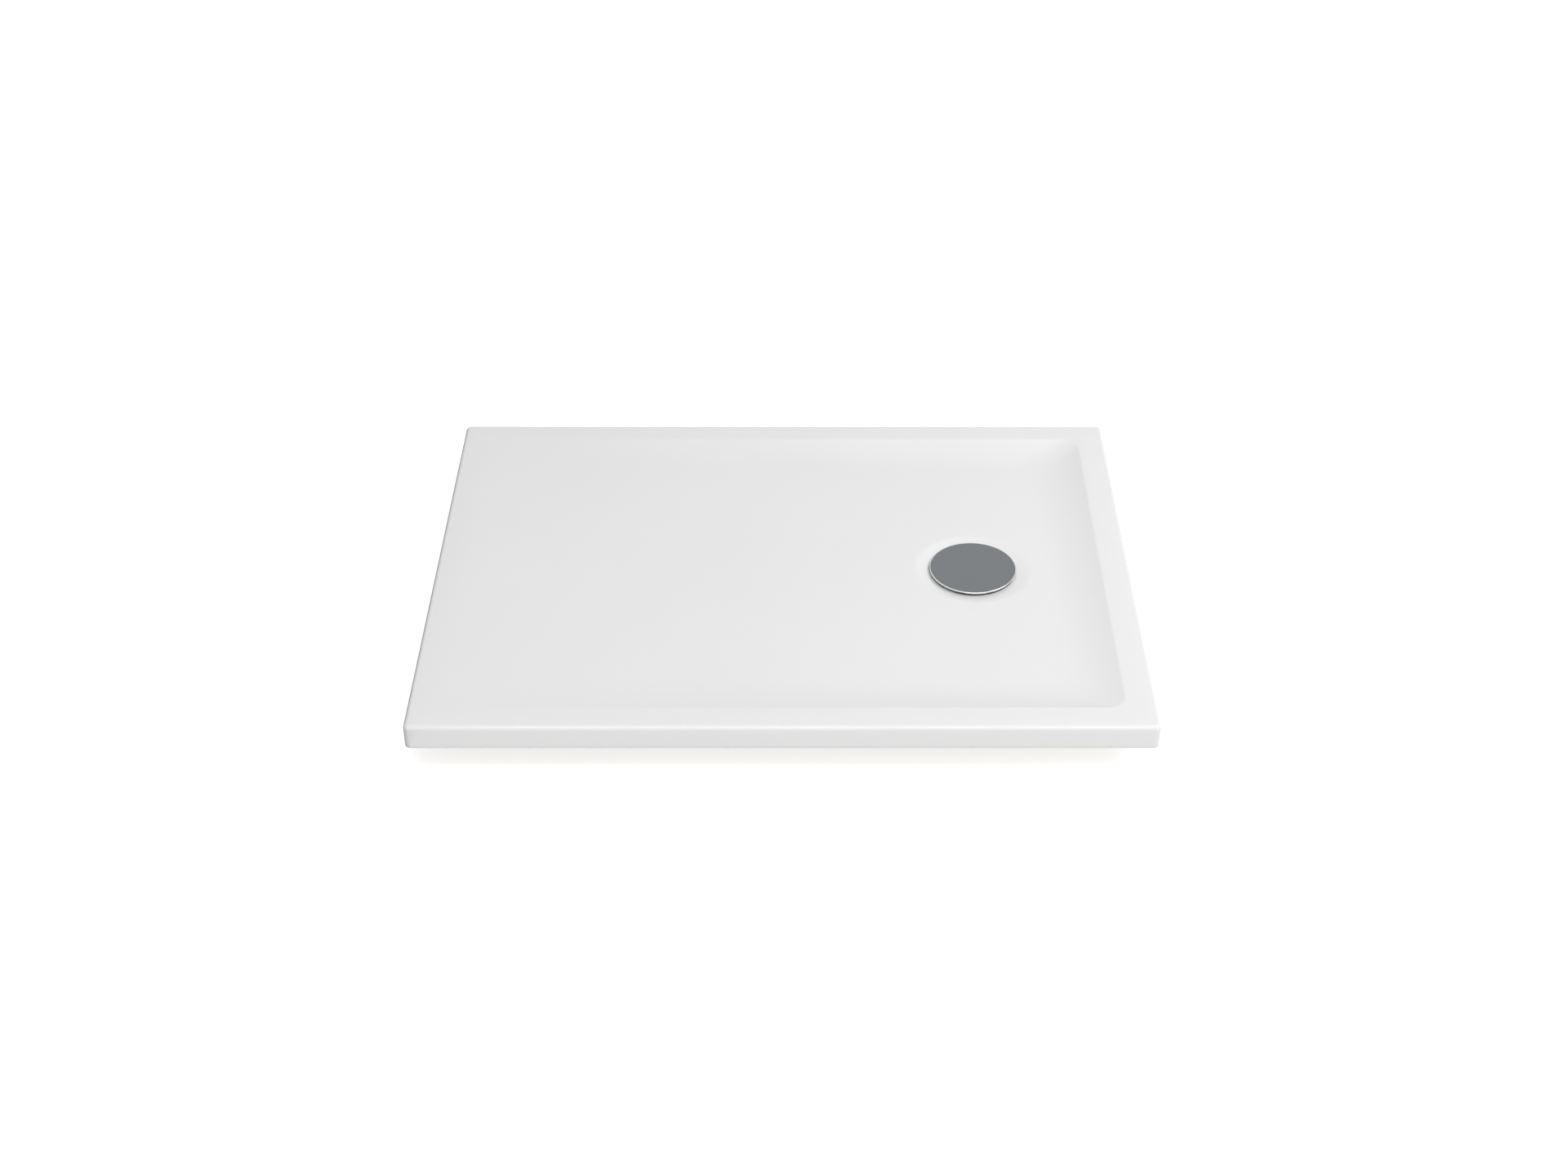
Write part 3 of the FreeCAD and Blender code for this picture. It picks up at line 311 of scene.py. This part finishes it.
# The cover's bevelled edge is polished after blasting, so it mirrors the lamps as a line
def polished_edge_finish():
    material, tree, shader, place = new_material("polished_steel_edge")
    streak = noise(tree, stretched(tree, place, 1.0, 1.0, 20.0), 25, 2.0)
    colour = ramp_between(tree, streak, 0.3, 0.7, linear("#D9DADB"), linear("#E6E6E6"))
    tree.links.new(colour, shader.inputs["Base Color"])
    tree.links.new(spread(tree, streak, 0.1, 0.18), shader.inputs["Roughness"])
    set_shader(shader, Metallic=1.0)
    return material


ACRYLIC = acrylic_finish()
POLISHED_EDGE = polished_edge_finish()
SHADED_SATIN_STEEL = shaded_satin_steel_finish()
LAMINATE = laminate_finish()
CHIPBOARD = chipboard_finish()
SPRUCE_ALONG = softwood_finish("sawn_spruce_along", False)
SPRUCE_ACROSS = softwood_finish("sawn_spruce_across", True)
GALVANISED = galvanised_finish()
ZINC = zinc_finish()
PRESSED_STEEL = pressed_steel_finish()
# Black glass-filled nylon: dull, with the fine spark texture of its mould
NYLON = plain_finish("moulded_nylon", "#17181A", "#1F2022", 1.5, (0.45, 0.6), 0.05)
# Moulded rubber: near black, soft sheen, dusty
RUBBER = plain_finish("moulded_rubber", "#121212", "#1C1C1B", 4.0, (0.7, 0.85), 0.05)
# White polypropylene of the trap: waxy, a little translucent
POLYPROPYLENE = plain_finish(
    "white_polypropylene", "#DEDFDE", "#E6E6E4", 20.0, (0.34, 0.44), 0.03, IOR=1.49
)
# Grey ABS of the loose pieces in the trap
GREY_ABS = plain_finish("grey_abs", "#6E7173", "#787B7D", 12.0, (0.4, 0.5), 0.03, IOR=1.5)


# ---------------------------------------------------------------- meshes


def make_piece(name, points, faces, material, body, sharp=35):
    """A smooth-shaded mesh with its sharper edges kept sharp."""
    mesh = bpy.data.meshes.new(name)
    mesh.from_pydata(points.tolist(), [], faces)
    mesh.materials.append(material)
    mesh.polygons.foreach_set("use_smooth", np.ones(len(faces), bool))
    mesh.update()
    mesh.set_sharp_from_angle(angle=math.radians(sharp))
    piece = bpy.data.objects.new(name, mesh)
    bpy.context.scene.collection.objects.link(piece)
    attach(piece, body)
    return piece


def closed_grid_faces(rows, columns):
    """The four-cornered faces of a grid that closes on itself both ways, as a ring does."""
    row, column = np.meshgrid(np.arange(rows), np.arange(columns), indexing="ij")
    next_row = (row + 1) % rows
    next_column = (column + 1) % columns
    corners = [
        row * columns + column,
        row * columns + next_column,
        next_row * columns + next_column,
        next_row * columns + column,
    ]
    return np.stack([corner.ravel() for corner in corners], axis=1)


def capped_turn(name, profile, centre, material, body, steps):
    """A piece turned about an upright axis: the profile's radius and height, from the axis
    below to the axis above, are carried round a circle; one point closes each end."""
    profile = np.asarray(profile, float)
    angle = np.linspace(0, 2 * math.pi, steps, endpoint=False)
    ring = profile[1:-1]
    x = centre[0] + ring[:, :1] * np.cos(angle)
    y = centre[1] + ring[:, :1] * np.sin(angle)
    z = np.repeat(ring[:, 1:], steps, axis=1)
    points = np.stack([x, y, z], axis=2).reshape(-1, 3)
    rows = len(ring)
    side_faces = closed_grid_faces(rows, steps)[: (rows - 1) * steps].tolist()
    low = len(points)
    high = low + 1
    ends = [[centre[0], centre[1], profile[0, 1]], [centre[0], centre[1], profile[-1, 1]]]
    points = np.vstack([points, ends])
    column = np.arange(steps)
    following = (column + 1) % steps
    last = (rows - 1) * steps
    bottom = np.stack([np.full(steps, low), following, column], axis=1)
    top = np.stack([last + column, last + following, np.full(steps, high)], axis=1)
    faces = side_faces + bottom.tolist() + top.tolist()
    return make_piece(name, points, faces, material, body)


def arc(centre, radius, start, finish, steps):
    """Points on an arc, by its start and finish angles in degrees."""
    turn = np.radians(np.linspace(start, finish, steps))
    return np.stack([centre[0] + radius * np.cos(turn), centre[1] + radius * np.sin(turn)], 1)


# ---------------------------------------------------------------- the acrylic shell

# Columns run anticlockwise from the right side's front end: right side, back right corner,
# back side, back left corner, left side, front left corner, front side, front right corner
SIDE_COLUMNS = (72, 72, 24, 72)
CORNER_COLUMNS = (24, 8, 8, 24)

# Rows run from the drain outwards, closest together where the surface bends most: on the
# dish's foot (distance from the recess and number), its cone, the floor and the walls
FOOT_ROWS = (1.2 * MM, 4.5 * MM, 8)
CONE_ROWS = np.concatenate([np.linspace(82, 93, 6), np.linspace(94.5, 102, 16)]) * MM
FLOOR_SHARES = np.linspace(0, 1, 7)
WALL_SHARES = np.concatenate([np.linspace(1, 0.06, 26)[1:], np.linspace(0.05, -0.026, 20)])
FLOOR_START = 6 * MM  # from the dish's edge to the first row of the floor


def even_turns(start, finish, far, count):
    """Shares of a side that lie at even angles round the drain, the side being far away."""
    turn = np.linspace(math.atan2(start, far), math.atan2(finish, far), count, endpoint=False)
    return (np.tan(turn) * far - start) / (finish - start)


# from the drain to the foot of the end wall and of a side wall
foot_x = HALF_LENGTH - LEDGE - END_RUN - DRAIN_X
foot_y = HALF_WIDTH - LEDGE - SIDE_RUN
SIDE_SHARES = (
    even_turns(-foot_y, foot_y, foot_x, SIDE_COLUMNS[0]),
    even_turns(-foot_x, DRAIN_X - FALL_START, foot_y, SIDE_COLUMNS[1]),
    even_turns(-foot_y, foot_y, DRAIN_X - FALL_START, SIDE_COLUMNS[2]),
    even_turns(-(DRAIN_X - FALL_START), foot_x, foot_y, SIDE_COLUMNS[3]),
)
LEFT_PART = np.zeros(sum(SIDE_COLUMNS) + sum(CORNER_COLUMNS), bool)
left_start = SIDE_COLUMNS[0] + CORNER_COLUMNS[0] + SIDE_COLUMNS[1]
LEFT_PART[left_start : left_start + CORNER_COLUMNS[1] + SIDE_COLUMNS[2] + CORNER_COLUMNS[2]] = True


def rounded_outline(left, right, side, left_radius, right_radius):
    """A rectangle's outline with its corners rounded: on a side, the point at each share of
    the straight run; on a corner, the point at each even turn of its quarter circle."""
    radii = (right_radius, left_radius, left_radius, right_radius)
    centres = (
        (right - right_radius, side - right_radius),
        (left + left_radius, side - left_radius),
        (left + left_radius, -side + left_radius),
        (right - right_radius, -side + right_radius),
    )
    starts = (
        (right, -side + right_radius),
        (right - right_radius, side),
        (left, side - left_radius),
        (left + left_radius, -side),
    )
    ends = (
        (right, side - right_radius),
        (left + left_radius, side),
        (left, -side + left_radius),
        (right - right_radius, -side),
    )
    runs = []
    for number in range(4):
        share = SIDE_SHARES[number][:, None]
        start, end = np.array(starts[number]), np.array(ends[number])
        runs.append(start + share * (end - start))
        turn = 90 * number + 90 * np.arange(CORNER_COLUMNS[number]) / CORNER_COLUMNS[number]
        turn = np.radians(turn)[:, None]
        ring = np.hstack([np.cos(turn), np.sin(turn)])
        runs.append(np.array(centres[number]) + radii[number] * ring)
    return np.vstack(runs)


def softened(distance, width):
    """Zero before an edge and the distance after it, with a quadratic between."""
    middle = (distance + width) ** 2 / (4 * width)
    return np.where(distance < -width, 0, np.where(distance > width, distance, middle))


def smaller(a, b, soft):
    """The smaller of two heights, with the crease between them rounded."""
    return np.minimum(a, b) - np.maximum(soft - np.abs(a - b), 0) ** 2 / (4 * soft)


def wall_share(run_share):
    """How far down the wall is at a share of its run: a parabola, level at the floor."""
    run = np.clip(softened(run_share, RIM_SOFTNESS), 0, 1)
    return 1 - (1 - run) ** 2


def floor_height(x, share):
    """The height where the wall is down by this share: RIM - share * FALL * (x - FALL_START),
    so the depth grows evenly from nothing at the shallow end."""
    return RIM - share * FALL * np.maximum(x - FALL_START, 0)


def basin_row(run_share):
    """The basin's surface where its wall has run in by this share: the ledge's edge at 0,
    the floor's edge at 1. On the left part the share follows the distance from the side."""
    right = HALF_LENGTH - LEDGE - run_share * END_RUN
    side = HALF_WIDTH - LEDGE - run_share * SIDE_RUN
    left = FALL_START + run_share * SHALLOW_RUN
    radius = RIM_CORNER + run_share * (FOOT_CORNER - RIM_CORNER)
    plan = rounded_outline(left, right, side, SHALLOW_CORNER, radius)
    from_side = (HALF_WIDTH - LEDGE - np.abs(plan[:, 1])) / SIDE_RUN
    share = np.where(LEFT_PART, np.clip(from_side, -1, 1), run_share)
    return np.column_stack([plan, floor_height(plan[:, 0], wall_share(share))])


def round_row(radius, height=None):
    """A circle round the drain. With no height given, it lies on the floor or in the dish,
    whose cone falls from the floor's own height at the dish's edge."""
    foot = basin_row(1.0)[:, :2] - (DRAIN_X, 0)
    turn = foot / np.linalg.norm(foot, axis=1)[:, None]
    plan = turn * radius + (DRAIN_X, 0)
    if height is None:
        plane = floor_height(plan[:, 0], 1.0)
        edge = floor_height(DRAIN_X + turn[:, 0] * DISH, 1.0)
        cone = DISH_FLOOR + (radius - DISH_FOOT) / (DISH - DISH_FOOT) * (edge - DISH_FLOOR)
        cone = -smaller(-cone, np.full_like(cone, -DISH_FLOOR), DISH_FOOT_SOFTNESS)
        height = smaller(plane, cone, DISH_EDGE_SOFTNESS)
    return np.column_stack([plan, np.broadcast_to(height, len(plan))])


def floor_row(share):
    """The flat floor between the dish's edge and the foot of the walls."""
    outer = basin_row(1.0)
    inner = round_row(DISH + FLOOR_START)
    row = inner + share * (outer - inner)
    row[:, 2] = floor_height(row[:, 0], 1.0)
    return row


def block_row(inset, height):
    """The tray's outer outline, set in by a distance, at a height."""
    half_x = HALF_LENGTH - inset
    half_y = HALF_WIDTH - inset
    radius = max(PLAN_CORNER - inset, LEAST_CORNER)
    plan = rounded_outline(-half_x, half_x, half_y, radius, radius)
    return np.column_stack([plan, np.full(len(plan), height)])


def top_side(inset):
    """Rows of the upper side of a sheet, from the drain's hole to the foot of the skirt's
    rounded top edge. A set-in sheet lies lower by the same thickness."""
    recess = RECESS + inset
    seat = DISH_FLOOR - RECESS_DEPTH
    rows = [round_row(HOLE, seat), round_row(recess - RECESS_CORNER, seat)]
    rows += [round_row(recess, seat + RECESS_RISE), round_row(recess, DISH_FLOOR - RECESS_CORNER)]
    rows += [round_row(recess + RECESS_LIP, DISH_FLOOR - RECESS_LIP_DROP)]
    foot = np.linspace(recess + FOOT_ROWS[0], recess + FOOT_ROWS[1], FOOT_ROWS[2])
    rows += [round_row(radius) for radius in (*foot, *CONE_ROWS)]
    rows += [floor_row(share) for share in FLOOR_SHARES]
    rows += [basin_row(share) for share in WALL_SHARES]
    edge = TOP_EDGE - inset
    bend = np.radians(np.linspace(0, 90, 11))
    for turn in bend:
        out = inset + edge * (1 - math.sin(turn))
        rows.append(block_row(out, RIM - edge * (1 - math.cos(turn))))
    return [row - (0, 0, inset) for row in rows]


def make_shell():
    """One closed sheet: its upper side from the drain's hole out over dish, floor, walls and
    ledge and down the skirt, then its lower side all the way back, four millimetres within."""
    upper = top_side(0.0)
    skirt = [block_row(0, z) for z in np.linspace(RIM - TOP_EDGE, SKIRT + LIP_EDGE, 6)[1:]]
    lip = [block_row(LIP_EDGE * 0.3, SKIRT + LIP_EDGE * 0.3), block_row(LIP_EDGE, SKIRT)]
    lip += [block_row(SHEET, SKIRT)]
    lower = top_side(SHEET)[::-1]
    grid = np.stack(upper + skirt + lip + lower)
    faces = closed_grid_faces(grid.shape[0], grid.shape[1])[:, ::-1]
    piece = make_piece(
        "acrylic_shell", grid.reshape(-1, 3), faces.tolist(), ACRYLIC, "tray", sharp=40
    )
    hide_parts("tray_shell")


make_shell()


# ---------------------------------------------------------------- the drain's cover


def make_cover():
    """The cover's disc: level top with a very faint crown, rounded edge, turned-down skirt,
    and a hollow underside."""
    edge = COVER_EDGE
    under = COVER_TOP - COVER_SHEET
    low = COVER_TOP - COVER_SKIRT
    radii = np.linspace(0, COVER_RADIUS - edge, 12)
    crown = COVER_TOP - COVER_CROWN * (radii / COVER_RADIUS) ** 2
    top = np.stack([radii, crown], 1)[::-1]
    top[0, 1] = COVER_TOP - COVER_CROWN
    inner = COVER_RADIUS - COVER_SKIRT_THICKNESS
    rim = arc((COVER_RADIUS - edge, COVER_TOP - edge - COVER_CROWN), edge, 0, 80, 8)
    profile = [(0, under), (inner - COVER_INSIDE_BEND, under)]
    profile += [(inner, under - COVER_ARRIS), (inner, low)]
    profile += [(COVER_RADIUS - COVER_ARRIS, low), (COVER_RADIUS, low + COVER_ARRIS)]
    profile = np.vstack([profile, rim, top])
    piece = capped_turn(
        "cover_disc", profile, (DRAIN_X, 0), SHADED_SATIN_STEEL, "cover", steps=240
    )
    mesh = piece.data
    mesh.materials.append(POLISHED_EDGE)
    middles = np.zeros(len(mesh.polygons) * 3)
    mesh.polygons.foreach_get("center", middles)
    middles = middles.reshape(-1, 3)
    radius = np.hypot(middles[:, 0] - DRAIN_X, middles[:, 1])
    at_edge = (radius > COVER_RADIUS - edge) & (middles[:, 2] > low)
    mesh.polygons.foreach_set("material_index", at_edge.astype(np.int32))
    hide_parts("drain_cover")


make_cover()


# ---------------------------------------------------------------- finishes of the CAD nodes

FINISHES = {
    "glass_fibre_backing": LAMINATE,
    "base_board": CHIPBOARD,
    "edge_batten_front": SPRUCE_ALONG,
    "edge_batten_back": SPRUCE_ALONG,
    "edge_batten_left": SPRUCE_ACROSS,
    "edge_batten_right": SPRUCE_ACROSS,
    "tapered_packer_front": SPRUCE_ALONG,
    "tapered_packer_back": SPRUCE_ALONG,
    "rail_front": GALVANISED,
    "rail_back": GALVANISED,
    "rail_screws": ZINC,
    "thread_inserts": ZINC,
    "lock_nuts": ZINC,
    "foot_stud": ZINC,
    "foot_pad": NYLON,
    "foot_sole": RUBBER,
    "upper_seal": RUBBER,
    "lower_seal": RUBBER,
    "outlet_seal": RUBBER,
    "dip_tube_o_ring": RUBBER,
    "clamping_flange": PRESSED_STEEL,
    "flange_screws": ZINC,
    "hair_sieve": PRESSED_STEEL,
    "trap_body": POLYPROPYLENE,
    "outlet_pipe": POLYPROPYLENE,
    "outlet_nut": POLYPROPYLENE,
    "trap_cup": GREY_ABS,
    "dip_tube": GREY_ABS,
    "cover_carrier": GREY_ABS,
}
for node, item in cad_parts.items():
    finish = FINISHES.get(node) or FINISHES.get(node.rstrip("0123456789").rstrip("_"))
    if finish:
        for place in item.material_slots:
            place.material = finish


# ---------------------------------------------------------------- floor, lights and camera

LIGHT_LEFT = 0.12
LIGHT_MIDDLE = 0.365
LIGHT_RIGHT = 0.545
MIDDLE_STOP = 0.3  # where the middle level lies between the left and the right
FLOOR_SIZE = 30.0
FLOOR_GLOW = 0.7


def seen_or_mirrored(tree):
    """One where a ray comes from the camera or a mirror, zero where it only lights."""
    path = add_node(tree, "ShaderNodeLightPath")
    rays = {0: path.outputs["Is Camera Ray"], 1: path.outputs["Is Glossy Ray"]}
    return add_node(tree, "ShaderNodeMath", {"operation": "MAXIMUM"}, rays).outputs["Value"]


def make_floor():
    """A pale floor that lifts the camera's view of it to white, and keeps the shadow."""
    size = FLOOR_SIZE
    mesh = bpy.data.meshes.new("studio_floor")
    corners = [(-size, -size, 0), (size, -size, 0), (size, size, 0), (-size, size, 0)]
    mesh.from_pydata(corners, [], [(0, 1, 2, 3)])
    floor = bpy.data.objects.new("studio_floor", mesh)
    bpy.context.scene.collection.objects.link(floor)
    material = bpy.data.materials.new("pale_studio_floor")
    material.use_nodes = True
    tree = material.node_tree
    shader = tree.nodes["Principled BSDF"]
    set_shader(shader, Base_Color=linear("#DADADA"), Roughness=1.0, Specular_IOR_Level=0.0)
    seen = seen_or_mirrored(tree)
    glow = add_node(
        tree, "ShaderNodeMath", {"operation": "MULTIPLY"}, {0: seen}
    )
    glow.inputs[1].default_value = FLOOR_GLOW
    tree.links.new(glow.outputs["Value"], shader.inputs["Emission Strength"])
    set_shader(shader, Emission_Color=(1, 1, 1, 1))
    mesh.materials.append(material)


def make_black_flag():
    """A black card on the floor beside the tray's left end that shows only in mirrored light:
    it draws the thin dark line along that end's rounded edge."""
    near, far, front, back, height = -0.62, -4.0, -1.5, 5.0, 0.001
    corners = [(near, front), (far, front), (far, back), (near, back)]
    mesh = bpy.data.meshes.new("black_flag")
    mesh.from_pydata([(x, y, height) for x, y in corners], [], [(0, 1, 2, 3)])
    material = bpy.data.materials.new("black_card")
    material.use_nodes = True
    set_shader(
        material.node_tree.nodes["Principled BSDF"],
        Base_Color=linear("#0A0A0A"),
        Roughness=1.0,
        Specular_IOR_Level=0.0,
    )
    mesh.materials.append(material)
    flag = bpy.data.objects.new("black_flag", mesh)
    flag.visible_camera = False
    flag.visible_diffuse = False
    flag.visible_shadow = False
    bpy.context.scene.collection.objects.link(flag)


def make_world():
    """A white surround: full white where it is seen, and where it lights, dimmer towards the
    left, as beside a dark studio wall."""
    world = bpy.data.worlds.new("white_surround")
    bpy.context.scene.world = world
    world.use_nodes = True
    tree = world.node_tree
    seen = seen_or_mirrored(tree)
    direction = add_node(tree, "ShaderNodeTexCoord").outputs["Generated"]
    split = add_node(tree, "ShaderNodeSeparateXYZ", links={"Vector": direction})
    across = add_node(
        tree, "ShaderNodeMapRange", links={"Value": split.outputs["X"]}, From_Min=-1.0
    ).outputs["Result"]
    lit = add_node(tree, "ShaderNodeValToRGB", links={"Fac": across})
    stops = lit.color_ramp.elements
    stops.new(MIDDLE_STOP)
    for stop, level in zip(stops, (LIGHT_LEFT, LIGHT_MIDDLE, LIGHT_RIGHT)):
        stop.color = (level, level, level, 1)
    level = add_node(
        tree,
        "ShaderNodeMix",
        {"data_type": "FLOAT"},
        {"Factor": seen, "A": lit.outputs["Color"]},
        B=1.0,
    )
    tree.links.new(level.outputs["Result"], tree.nodes["Background"].inputs["Strength"])
    tree.nodes["Background"].inputs["Color"].default_value = (1, 1, 1, 1)


def add_softbox(name, place, aim, width, height, watts, mirrored=True):
    """An area light; one that isn't mirrored lights a surface but leaves no glare on it."""
    data = bpy.data.lights.new(name, "AREA")
    data.shape = "RECTANGLE"
    data.size = width
    data.size_y = height
    data.energy = watts
    lamp = bpy.data.objects.new(name, data)
    lamp.location = place
    direction = np.array(place) - np.array(aim)
    yaw = math.atan2(direction[1], direction[0]) + math.pi / 2
    pitch = math.acos(direction[2] / np.linalg.norm(direction))
    lamp.rotation_euler = (pitch, 0, yaw)
    lamp.visible_glossy = mirrored
    bpy.context.scene.collection.objects.link(lamp)


def add_camera():
    """The photograph's camera, as solved from the tray's four top corners."""
    data = bpy.data.cameras.new("view")
    data.lens = 52.86
    data.sensor_width = 36.0
    data.shift_x = -0.0045
    camera = bpy.data.objects.new("view", data)
    camera.location = (0.014, -3.261, 2.424)
    camera.rotation_euler = (math.radians(54.04), 0, 0)
    bpy.context.scene.collection.objects.link(camera)
    bpy.context.scene.camera = camera


make_floor()
make_black_flag()
make_world()
add_softbox("softbox_right", (2.0, 0.0, 2.6), (0.2, 0, 0.1), 1.4, 1.4, 22)
add_softbox("softbox_front", (1.4, -6.3, 6.0), (0.1, 0, 0.1), 5.4, 6.6, 240, mirrored=False)
add_softbox("strip_above", (1.0, -4.6, 7.3), (0.1, 0, 0.1), 6.0, 1.0, 150)
add_camera()
bpy.context.scene.view_settings.view_transform = "Standard"
